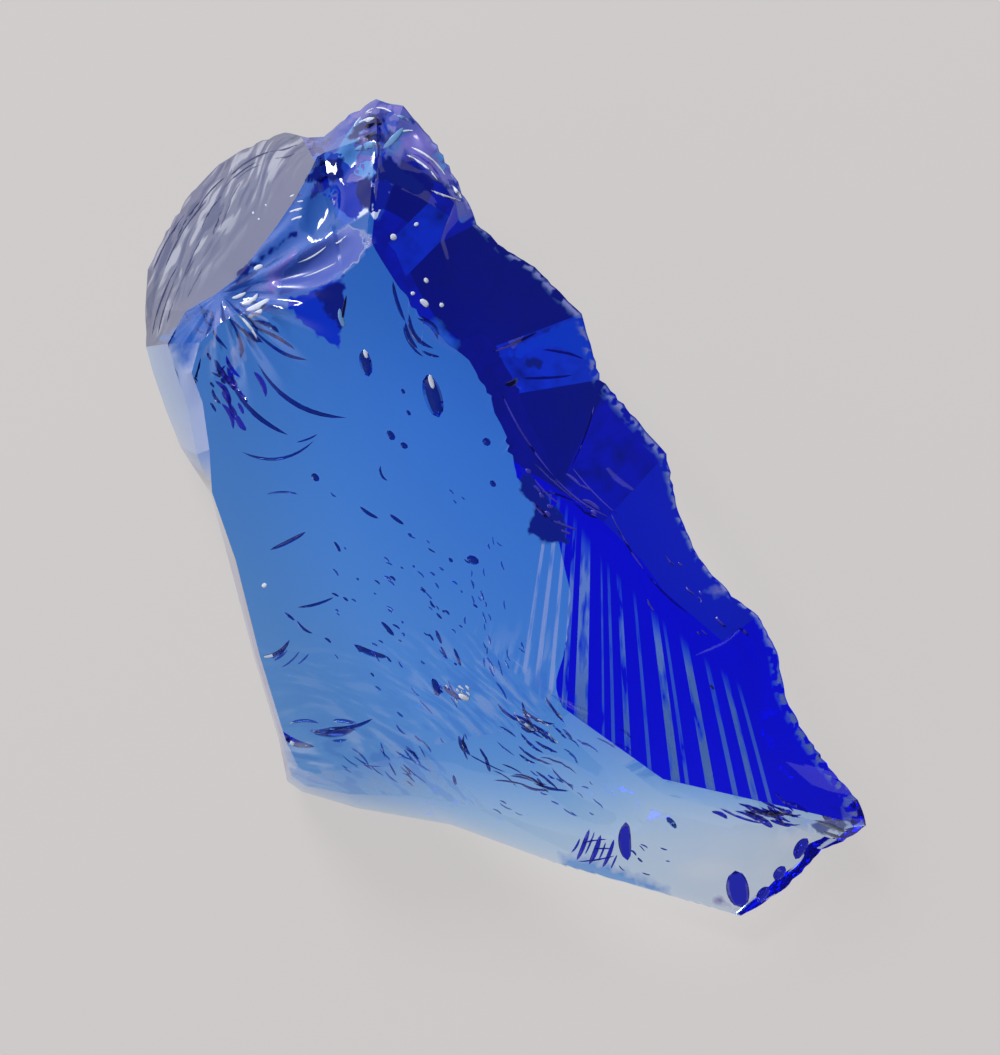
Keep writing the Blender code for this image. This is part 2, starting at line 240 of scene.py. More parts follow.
def wobble(a, b, size, turn):
    # a smooth uneven field between -1 and 1: sines of three directions whose wavelengths share no factor
    first = np.sin((a * math.cos(turn) + b * math.sin(turn)) * 6.28 / size)
    second = np.sin((a * math.sin(turn * 2.3) - b * math.cos(turn * 2.3)) * 6.28 / size * 1.37 + 2.0 * first)
    third = np.sin((a * 0.83 + b * 0.57) * 6.28 / size * 0.61 + 1.7 * second)
    return (first + second + third) / 3.0


def scoopField(x, y):
    # sum of oval bowls, each depth times (1 - reach squared) inside its rim
    total = np.zeros_like(x)
    for cx, cy, halfLength, halfWidth, turn, depth in chunk["scoops"]:
        c, s = math.cos(math.radians(turn)), math.sin(math.radians(turn))
        ahead, aside = (x - cx) * c + (y - cy) * s, (y - cy) * c - (x - cx) * s
        total -= depth * np.clip(1.0 - (ahead / halfLength) ** 2 - (aside / halfWidth) ** 2, 0.0, 1.0)
    return total


def chipField(x, y):
    # squared distance to the nearest of many scattered points: small bowls that meet in sharp ridges
    draw = np.random.default_rng(chunk["chipSeed"])
    spacing, area = chunk["chipSpacing"], chunk["chipArea"]
    count = int(area / spacing)
    cells = np.stack(np.meshgrid(np.arange(count), np.arange(count), indexing="ij"), axis=-1).reshape(-1, 2)
    centres = (cells + draw.uniform(0.15, 0.85, cells.shape)) * spacing - area / 2
    nearest = np.full(x.shape, 9.0)
    for k in range(0, len(centres), 200):
        near = centres[k:k + 200]
        gap = np.hypot(x[..., None] - near[:, 0], y[..., None] - near[:, 1]).min(axis=-1)
        nearest = np.minimum(nearest, gap)
    return (nearest / spacing) ** 2


def reliefField(grid, levels, along):
    # height added to the front: scoops, ridges round the break's start, ripples and chips
    x, y = grid[..., 0], grid[..., 1]
    level, station = np.broadcast_arrays(levels[:, None], along[None, :])
    height = scoopField(x, y)
    dx, dy = x - chunk["hackleCentre"][0], y - chunk["hackleCentre"][1]
    reach = chunk["hackleReach"]
    strength = np.exp(-((np.hypot(dx, dy) - reach) / (0.5 * reach)) ** 2) * (level < 2)
    height = height + chunk["hackleHeight"] * strength * np.sin(chunk["hackleCount"] * np.arctan2(dy, dx))
    wave = np.sin(6.28 * (chunk["rippleCount"] * level + 0.25 * wobble(station, level, 3.1, 0.7)))
    frosted = window(station, *chunk["rippleStations"]) * window(level, *chunk["rippleLevels"])
    height = height + chunk["rippleHeight"] * wave * frosted
    bowls = chipField(x, y) * chunk["chipRise"] - chunk["chipDrop"]
    height = height + chunk["chipHeight"] * zone(chunk["chipZone"], level, station) * bowls
    return height * smooth(level, 3.0, 2.9)


def outlineField(outlines, x, y):
    # distance to the nearest outline in mm, positive inside, where a line to the left crosses the outline
    # an odd number of times
    field = np.full(x.shape, -1.0)
    for corners in outlines:
        start = np.array(corners)
        distance, inside = np.full(x.shape, 9.0), np.zeros(x.shape, bool)
        for (ax, ay), (bx, by) in zip(start, np.roll(start, -1, axis=0)):
            wide, high = bx - ax, by - ay
            along = np.clip(((x - ax) * wide + (y - ay) * high) / (wide ** 2 + high ** 2), 0, 1)
            distance = np.minimum(distance, np.hypot(x - ax - along * wide, y - ay - along * high))
            inside ^= ((ay > y) != (by > y)) & (x > ax + (y - ay) * wide / (high + 1e-9))
        field = np.maximum(field, np.where(inside, distance, -distance))
    return field


def gridFaces(ringCount, columnCount):
    # quads between neighbouring rings of a closed grid, and a triangle fan at each end
    here = np.arange(columnCount)
    after = np.roll(here, -1)
    inner = (1 + np.arange(ringCount - 1) * columnCount)[:, None]
    outer = inner + columnCount
    quads = np.stack([inner + here, inner + after, outer + after, outer + here], axis=-1).reshape(-1, 4)
    last = 1 + (ringCount - 1) * columnCount
    firstFan = np.stack([np.zeros_like(here), 1 + after, 1 + here], axis=-1)
    lastFan = np.stack([np.full_like(here, last + columnCount), last + here, last + after], axis=-1)
    return firstFan.tolist() + quads.tolist() + lastFan.tolist()


def addObject(name, data):
    made = bpy.data.objects.new(name, data)
    bpy.context.scene.collection.objects.link(made)
    return made


def makeMesh(name, points, faces):
    mesh = bpy.data.meshes.new(name)
    mesh.from_pydata((points * metres).tolist(), [], faces)
    return addObject(name, mesh)


def addNode(tree, kind, inputs, **settings):
    # a new node, each of its inputs a plain value or a link from another node's output
    node = tree.nodes.new("ShaderNode" + kind)
    for name, value in settings.items():
        setattr(node, name, value)
    for socket, value in inputs.items():
        if isinstance(value, bpy.types.NodeSocket):
            tree.links.new(value, node.inputs[socket])
        else:
            node.inputs[socket].default_value = value
    return node


def split(tree, vector):
    node = addNode(tree, "SeparateXYZ", {"Vector": vector})
    return [node.outputs[axis] for axis in "XYZ"]


def blend(tree, amount, first, second, kind="RGBA"):
    return addNode(tree, "Mix", {"Factor": amount, "A": first, "B": second}, data_type=kind).outputs["Result"]


def swell(tree, value, low, high, most=1.0, least=0.0):
    # an even curve from least where the value is low to most where it is high
    ends = {"Value": value, "From Min": low, "From Max": high, "To Min": least, "To Max": most}
    return addNode(tree, "MapRange", ends, interpolation_type="SMOOTHSTEP").outputs["Result"]


# flaws in the glass and marks on its front, each a closed thin lens
flaws = {
    # what a kind lets through, its mist, its middle's depth below the front, and its thickness over its width
    "kinds": {
        # the hollows' dark tint is painted shade, darkening the view into the bubbles
        "hollow": ((0.05, 0.09, 0.35), 0.0, 0.42, 0.7), "dent": ((0.14, 0.26, 0.70), 0.0, 0.30, 0.6),
        # the cyan marks are painted highlights on the knob
        # the white marks are partly painted highlights, glints over bubbles and breaks, and partly whitish
        # bruises
        "bruise": ((0.60, 0.66, 0.80), 0.9, 0.0, 0.4), "ice": ((0.16, 0.36, 0.70), 0.7, 0.0, 0.4),
        # the dark grey marks are painted shade along the frosted facet's ripples
        "scratch": ((0.08, 0.09, 0.20), 0.7, 0.0, 0.4), "vein": ((0.03, 0.04, 0.70), 0.10, 0.0, 0.4),
        # the pale violet lines are painted highlights along creases between facets
        "ink": ((0.003, 0.003, 0.10), 0.2, 0.0, 0.4), "seam": ((0.055, 0.05, 0.56), 0.7, 0.0, 0.4)},
    # from x, y, to x, y, width, bow to the right of its way
    "hollow": [
        (-3.71, 6.4, -3.14, 4.4, 0.86, 0.0), (-6.71, 7.55, -6.43, 6.31, 0.57, 0.0),
        (-3.48, -7.83, -3.19, -8.69, 0.38, 0.0), (-1.86, -2.12, -1.29, -2.4, 0.4, 0.0),
        (-1.1, 3.4, -0.76, 3.12, 0.36, 0.0), (-5.57, 3.79, -5.24, 3.36, 0.33, 0.0),
        (-4.95, 3.21, -4.62, 2.98, 0.27, 0.0), (-9.14, 1.79, -8.81, 1.45, 0.3, 0.0),
        (-0.76, 1.45, -0.52, 1.17, 0.26, 0.0), (-2.71, -2.17, -2.52, -2.36, 0.17, 0.0),
        (-4.67, 4.74, -4.48, 4.5, 0.17, 0.0), (-4.9, 5.74, -4.76, 5.5, 0.17, 0.0),
        (-6.9, 0.26, -6.0, -0.31, 0.17, 0.05), (-5.48, -0.12, -4.81, -0.6, 0.17, 0.0),
        (-8.1, -1.4, -7.81, -1.88, 0.17, 0.0), (-5.9, 2.17, -5.57, 1.45, 0.13, 0.15),
        (-5.9, -5.17, -5.29, -5.83, 0.22, 0.0), (-3.33, -5.55, -3.05, -6.21, 0.17, 0.0),
        (-3.1, -6.31, -2.81, -6.88, 0.13, 0.0), (-7.2, -6.25, -5.6, -6.85, 0.3, 0.1),
        (-3.0, -8.21, -2.14, -8.83, 0.27, 0.0), (-10.48, -4.74, -10.0, -5.12, 0.13, 0.0),
        (-9.9, -5.12, -9.14, -5.74, 0.13, 0.1), (-2.48, -6.4, -2.14, -7.26, 0.17, 0.0),
        (-12.48, 2.83, -9.0, 3.36, 0.15, 0.6), (-9.86, 3.26, -8.86, 3.64, 0.1, 0.05),
        (-11.29, 0.83, -9.76, 0.83, 0.1, -0.1), (-11.14, -1.79, -9.43, -0.93, 0.2, 0.05),
        (-11.67, -6.83, -10.24, -6.02, 0.22, 0.29), (-10.9, -10.12, -9.1, -11.12, 0.38, 0.29),
        (-9.2, -10.4, -7.2, -10.3, 0.4, 0.15), (-8.4, -10.2, -6.3, -9.75, 0.2, 0.2),
        (-11.67, 6.98, -7.48, 4.4, 0.24, 0.7), (-13.09, 6.43, -10.24, 3.6, 0.24, 0.4),
        (-12.9, 9.0, -11.48, 7.83, 0.19, 0.0), (-12.04, 8.61, -9.29, 7.12, 0.22, 0.3),
        (-4.52, 9.21, -3.38, 7.6, 0.24, 0.38), (-4.14, 9.0, -3.19, 8.0, 0.19, -0.2),
        (-4.81, 8.64, -3.86, 7.21, 0.14, 0.19), (-12.62, 9.69, -11.67, 8.26, 0.19, -0.14),
        (-12.24, 8.74, -9.86, 7.6, 0.19, -0.19), (-11.95, 9.02, -10.62, 8.36, 0.14, -0.1),
        (-13.1, 9.21, -12.43, 7.21, 0.19, -0.14), (-13.76, 8.64, -13.1, 7.6, 0.14, 0.1),
        (-5.29, 10.74, -4.71, 8.83, 0.19, 0.1), (-4.71, 8.83, -4.14, 7.6, 0.24, 0.14),
        (-3.95, 7.5, -3.1, 7.21, 0.14, 0.05), (1.57, 7.5, 3.57, 7.12, 0.14, -0.14),
        (0.62, 6.17, 3.0, 6.36, 0.14, 0.05), (7.67, -14.6, 8.14, -15.17, 0.29, 0.0),
        (-9.86, -4.5, -8.14, -4.02, 0.14, 0.1), (-12.71, 10.07, -11.95, 10.64, 0.14, 0.0)],
    # white marks on the front: partly painted highlights, glints over bubbles and breaks, partly bruises
    "bruise": [
        (-12.24, 9.36, -11.1, 9.93, 0.38, 0.1), (-12.43, 9.69, -11.67, 10.21, 0.24, 0.14),
        (-12.9, 9.98, -12.24, 10.26, 0.19, 0.05), (-12.62, 9.21, -11.67, 7.98, 0.14, -0.1),
        (-12.14, 9.07, -11.38, 9.45, 0.24, 0.05), (-11.86, 11.31, -11.43, 11.5, 0.24, 0.0),
        (-7.0, 18.31, -6.05, 18.45, 0.24, -0.05), (-6.9, 18.7, -5.2, 18.6, 0.1, -0.4),
        (-7.3, 17.9, -6.2, 18.9, 0.1, -0.25), (-5.6, 17.4, -4.3, 17.9, 0.1, -0.2),
        (-7.0, 17.4, -6.81, 17.45, 0.19, 0.0), (-4.76, 16.74, -3.19, 15.4, 0.14, -0.14),
        (-4.52, 17.12, -2.9, 15.79, 0.14, -0.14), (-3.57, 15.02, -2.14, 14.55, 0.14, 0.05),
        (-2.62, 15.31, -2.14, 14.69, 0.19, 0.0), (-10.19, 14.74, -9.57, 14.83, 0.12, 0.0),
        (-10.24, 14.36, -9.48, 14.5, 0.12, 0.0), (-10.19, 13.98, -9.43, 14.17, 0.12, 0.0),
        (-10.1, 13.6, -9.48, 13.79, 0.12, 0.0), (-12.0, 14.02, -11.9, 14.07, 0.14, 0.0),
        (-11.38, 14.36, -11.29, 14.4, 0.14, 0.0), (-11.71, 13.69, -11.62, 13.74, 0.12, 0.0),
        (14.76, -14.79, 16.33, -15.45, 0.24, -0.05), (15.19, -15.4, 16.14, -15.74, 0.19, 0.0),
        (-5.43, 12.69, -5.14, 12.79, 0.33, 0.0), (-4.33, 13.31, -4.14, 13.45, 0.19, 0.0),
        (-3.86, 10.69, -3.67, 10.79, 0.29, 0.0), (-4.05, 9.83, -3.67, 9.5, 0.33, 0.0),
        (-3.14, 9.55, -2.95, 9.64, 0.24, 0.0), (-4.48, 10.07, -4.29, 10.17, 0.19, 0.0),
        (-11.57, -3.55, -11.33, -3.45, 0.24, 0.0), (-2.29, -8.6, -1.76, -8.88, 0.29, 0.0),
        (-6.67, 7.55, -6.52, 7.12, 0.19, 0.0), (-3.62, 6.36, -3.43, 5.69, 0.24, 0.0),
        (-8.05, 12.45, -7.38, 12.93, 0.1, 0.05), (-9.86, 11.6, -8.43, 12.36, 0.1, 0.1),
        (-9.57, 10.93, -7.95, 11.6, 0.07, 0.05)],
    # cyan streaks on the knob: painted highlights
    "ice": [
        (-7.14, 16.93, -5.86, 17.17, 0.33, -0.05), (-5.81, 16.98, -4.86, 18.12, 0.29, 0.05),
        (-7.81, 9.45, -7.57, 8.55, 0.24, 0.05), (-5.19, 18.64, -4.62, 18.36, 0.19, 0.0)],
    # dark grey lines on the frosted facet: painted shade along its ripples
    "scratch": [
        (-16.95, 8.36, -15.67, 11.69, 0.1, -0.14), (-16.62, 8.31, -15.29, 11.88, 0.1, -0.14),
        (-16.14, 8.83, -14.9, 11.88, 0.1, -0.1), (-17.0, 11.31, -15.1, 14.55, 0.1, -0.19),
        (-16.33, 11.6, -14.33, 14.83, 0.1, -0.19), (-15.57, 10.45, -14.33, 13.21, 0.1, -0.1),
        (-13.57, 13.4, -12.67, 15.6, 0.14, -0.05), (-13.95, 13.02, -13.29, 14.74, 0.1, -0.05),
        (-13.19, 15.98, -11.29, 17.12, 0.12, -0.14), (-13.57, 15.21, -11.86, 16.64, 0.1, -0.14),
        (-14.52, 13.4, -13.57, 15.02, 0.1, -0.1), (-15.76, 13.02, -14.62, 14.83, 0.1, -0.1),
        (-15.1, 10.07, -14.33, 11.6, 0.09, 0.0), (-12.9, 15.69, -11.67, 16.45, 0.1, -0.1),
        (-14.81, 14.26, -13.38, 15.98, 0.1, -0.14), (-11.29, 17.12, -9.86, 17.4, 0.1, 0.1),
        (-11.0, 16.74, -10.05, 16.93, 0.1, 0.1)],
    "vein": [
        (11.0, -17.3, 11.35, -19.1, 1.1, 0.05), (14.5, -15.75, 13.9, -16.75, 0.55, 0.05),
        (13.4, -17.1, 12.9, -17.75, 0.5, 0.0), (12.65, -18.1, 12.1, -18.85, 0.5, 0.05),
        (5.71, -14.88, 5.81, -16.79, 0.62, 0.1), (10.2, -14.2, 12.4, -15.0, 0.14, 0.1),
        (3.1, -16.4, 3.5, -15.7, 0.12, 0.05), (3.35, -16.8, 3.95, -15.2, 0.22, 0.05),
        (3.75, -16.5, 4.2, -15.35, 0.1, 0.03), (3.95, -17.0, 4.5, -15.5, 0.26, 0.06),
        (4.4, -16.8, 4.75, -15.9, 0.1, 0.02), (4.6, -17.15, 5.15, -15.75, 0.2, 0.05),
        (5.0, -17.2, 5.3, -16.5, 0.1, 0.0), (3.4, -16.85, 5.2, -16.55, 0.09, 0.05),
        (3.6, -15.95, 4.8, -15.75, 0.08, -0.05), (4.2, -16.2, 5.0, -16.2, 0.08, 0.0)],
    "ink": [
        (-7.76, 8.64, -7.48, 10.07, 0.14, 0.0), (-0.1, 5.9, 0.5, 6.2, 0.26, 0.1),
        (-7.19, 17.21, -6.05, 17.79, 0.24, 0.05), (-6.71, 18.07, -5.86, 18.26, 0.24, 0.0)],
    # pale violet lines along creases between facets: painted highlights
    "seam": [
        (-0.7, 7.4, 1.4, 8.4, 0.15, 0.05), (-0.3, 5.6, 2.2, 1.6, 0.09, 0.2),
        (2.2, 1.6, 4.8, -0.3, 0.09, 0.2), (4.1, 5.0, 3.0, 2.1, 0.08, -0.1),
        (4.8, 0.0, 6.5, -2.9, 0.09, 0.1), (6.5, -2.9, 8.5, -4.8, 0.09, 0.1),
        (3.0, 2.1, 5.2, -0.2, 0.07, 0.1), (1.2, 1.6, 2.5, 0.3, 0.1, 0.1), (1.6, 0.9, 3.2, 0.4, 0.1, -0.1),
        (2.0, -0.4, 3.3, -0.9, 0.12, 0.0), (-4.6, 16.9, -3.0, 15.4, 0.14, -0.2)],
    # kind, count, middle, spread, turn in degrees, least and most length, least and most width
    "clusters": [
        ("hollow", 26, (-4.6, -4.2), (2.0, 2.3), -42.0, (0.15, 0.45), (0.06, 0.13)),
        ("dent", 46, (-4.4, -4.2), (2.4, 2.8), -42.0, (0.15, 0.50), (0.05, 0.12)),
        ("hollow", 15, (1.4, -10.1), (0.8, 0.5), -40.0, (0.7, 1.8), (0.08, 0.20)),
        # whitish marks, partly painted glints
        ("bruise", 7, (1.6, -10.0), (0.7, 0.4), -40.0, (0.4, 1.0), (0.05, 0.09)),
        ("hollow", 16, (1.1, -12.2), (1.0, 0.45), -30.0, (0.8, 2.0), (0.08, 0.20)),
        ("hollow", 7, (-1.5, -11.5), (0.4, 0.5), -65.0, (0.5, 1.4), (0.08, 0.20)),
        ("dent", 12, (-0.7, -6.6), (0.6, 0.8), -75.0, (0.3, 1.0), (0.05, 0.10)),
        ("dent", 16, (-2.5, -9.8), (1.8, 1.2), -55.0, (0.3, 1.2), (0.05, 0.10)),
        ("dent", 5, (-10.9, -6.7), (0.6, 0.4), 40.0, (0.5, 1.4), (0.06, 0.12)),
        ("dent", 5, (-9.4, -10.4), (0.7, 0.3), 5.0, (0.7, 1.6), (0.10, 0.22)),
        ("dent", 6, (4.6, -10.8), (1.1, 0.35), -35.0, (0.4, 1.3), (0.07, 0.16)),
        ("hollow", 14, (-13.3, 6.0), (0.35, 0.6), -55.0, (0.3, 0.9), (0.10, 0.22)),
        ("hollow", 10, (-14.1, 9.2), (0.5, 0.4), -60.0, (0.3, 0.8), (0.08, 0.16)),
        ("vein", 34, (12.7, -14.5), (0.8, 0.25), -22.0, (0.6, 1.5), (0.10, 0.24)),
        # painted glints
        ("bruise", 8, (-2.2, -8.5), (0.35, 0.22), -50.0, (0.1, 0.35), (0.06, 0.12)),
        # pale violet lines in the deep facets: painted highlights along small creases
        ("seam", 14, (2.5, 0.3), (0.9, 0.7), -35.0, (0.3, 1.0), (0.08, 0.22)),
        ("seam", 12, (8.6, -4.6), (1.8, 1.2), -50.0, (0.2, 0.8), (0.06, 0.14)),
        ("vein", 14, (-12.9, 5.2), (0.5, 0.9), -55.0, (0.5, 1.4), (0.12, 0.30)),
        ("dent", 18, (2.2, -13.6), (1.3, 0.7), -32.0, (0.2, 0.9), (0.05, 0.11)),
        ("dent", 12, (-6.0, -12.0), (1.0, 0.5), -35.0, (0.5, 1.4), (0.05, 0.10)),
        ("hollow", 9, (-4.9, -12.2), (0.5, 0.4), -50.0, (0.4, 0.9), (0.05, 0.10)),
        ("dent", 14, (-0.8, -3.8), (0.6, 1.6), -80.0, (0.2, 0.6), (0.05, 0.11)),
        ("hollow", 8, (6.6, -16.6), (0.9, 0.3), -30.0, (0.2, 0.5), (0.06, 0.12))],
    "turnSwing": 9.0, "bow": 0.12,               # of a cluster's flaws: degrees, and share of the length
    "steps": (9, 8),                             # along a flaw and round it
    "cover": 0.15,                               # least glass over one that lies inside
    "margin": 0.15,                              # least distance from the outline
    "seed": 11,
}


def scatteredFlaws(count, middle, spread, turn, lengths, widths, draw):
    # short flaws at normally spread places, all turned roughly one way
    place = draw.normal(size=(count, 2)) * spread + middle
    angle = np.radians(turn + draw.normal(size=count) * flaws["turnSwing"])
    length = draw.uniform(*lengths, count)
    half = np.column_stack([np.cos(angle), np.sin(angle)]) * length[:, None] / 2
    bow = draw.uniform(-flaws["bow"], flaws["bow"], count) * length
    return np.column_stack([place - half, place + half, draw.uniform(*widths, count), bow])


def flawRows(outline):
    # one table of flaws for each kind: those listed one by one, then the clusters, less what would pass
    # the outline
    draw = np.random.default_rng(flaws["seed"])
    rows = {kind: [np.array(flaws.get(kind, [])).reshape(-1, 6)] for kind in flaws["kinds"]}
    for kind, *cluster in flaws["clusters"]:
        rows[kind].append(scatteredFlaws(*cluster, draw))
    rows = {kind: np.vstack(tables) for kind, tables in rows.items()}
    for kind, table in rows.items():
        inside = [outlineField([outline], table[:, k], table[:, k + 1]) > flaws["margin"] for k in (0, 2)]
        rows[kind] = table[inside[0] & inside[1]]
    return rows


def frontHeight(path, surface):
    # mean height of the front's points, each weighing 1 / distance to the power of six
    heights = np.empty(path.shape[:2])
    for k, places in enumerate(path):
        gaps = (places[:, 0, None] - surface[:, 0]) ** 2 + (places[:, 1, None] - surface[:, 1]) ** 2
        weights = 1.0 / (gaps ** 3 + 1e-4)
        heights[k] = weights @ surface[:, 2] / weights.sum(axis=1)
    return heights


def flawGrid(rows, depth, flatness, surface):
    # centre(t) = a parabola from start to end
    # radius(t) = half the width times the square root of 1 - (2t - 1) squared
    steps, turns = flaws["steps"]
    t = np.linspace(0.0, 1.0, steps + 1)
    turn = np.arange(turns) / turns * 6.2832
    start, end = rows[:, 0:2], rows[:, 2:4]
    way = (end - start) / np.linalg.norm(end - start, axis=1)[:, None]
    right = np.column_stack([way[:, 1], -way[:, 0]])
    path = start[:, None] + (end - start)[:, None] * t[None, :, None]
    path = path + right[:, None] * (rows[:, 5, None, None] * (4 * t * (1 - t))[None, :, None])
    radius = rows[:, 4, None] / 2 * np.sqrt(np.clip(1 - (2 * t - 1) ** 2, 0, 1))[None, :]
    aside = right[:, None, None] * (radius[..., None] * np.cos(turn))[..., None]
    sunk = np.maximum(depth, rows[:, 4] / 2 + flaws["cover"]) if depth > 0 else np.zeros(len(rows))
    centre = np.dstack([path, frontHeight(path, surface) - sunk[:, None]])
    points = np.repeat(centre[:, :, None], turns, axis=2)
    points[..., :2] += aside
    points[..., 2] += radius[..., None] * np.sin(turn) * flatness
    return points


def flawMesh(grid, firstPoint):
    # every flaw closed at both ends; the faces point into its hollow, away from the glass
    count, rings, turns = grid.shape[:3]
    inner = grid[:, 1:-1].reshape(count, -1, 3)
    points = np.concatenate([grid[:, 0, :1], inner, grid[:, -1, :1]], axis=1)
    caps = gridFaces(rings - 2, turns)
    ends, one = np.array(caps[:turns] + caps[-turns:]), np.array(caps[turns:-turns])
    starts = firstPoint + np.arange(count) * points.shape[1]
    quads = (one[None] + starts[:, None, None]).reshape(-1, 4)
    tips = (ends[None] + starts[:, None, None]).reshape(-1, 3)
    return points.reshape(-1, 3), quads.tolist() + tips.tolist()


grid, levels, along = skinGrid()
grid = brokenEdges(roundedCrest(grid, levels, along), levels, along)
points = np.vstack([grid[0, :1], grid[1:-1].reshape(-1, 3), grid[-1, :1]])
raised = grid.copy()
raised[..., 2] += reliefField(grid, levels, along)
surface = raised[1:edgeRing:2, ::2].reshape(-1, 3)
flawPoints, flawFaces, flawCounts = [], [], {}
for kind, rows in flawRows(grid[edgeRing, :, :2]).items():
    firstPoint = len(points) + sum(len(part) for part in flawPoints)
    part, partFaces = flawMesh(flawGrid(rows, *flaws["kinds"][kind][2:], surface), firstPoint)
    if flaws["kinds"][kind][2] == 0:
        partFaces = [face[::-1] for face in partFaces]  # one on the front faces out
    flawPoints.append(part)
    flawFaces += partFaces
    flawCounts[kind] = len(partFaces)
flawPoints = np.vstack(flawPoints)
skinFaces = gridFaces(len(levels) - 2, len(along))
glass = makeMesh("cobalt_chunk", np.vstack([points, flawPoints]), skinFaces + flawFaces)
# the sharp edges are found before the relief is put in, so that it stays smooth
glass.data.shade_smooth()
glass.data.set_sharp_from_angle(angle=math.radians(chunk["crease"]))
points[1:-1] = raised[1:-1].reshape(-1, 3)
glass.data.vertices.foreach_set("co", (np.vstack([points, flawPoints]) * metres).ravel())
print("chunk made,", len(glass.data.polygons), "faces, flaws have", flawCounts)


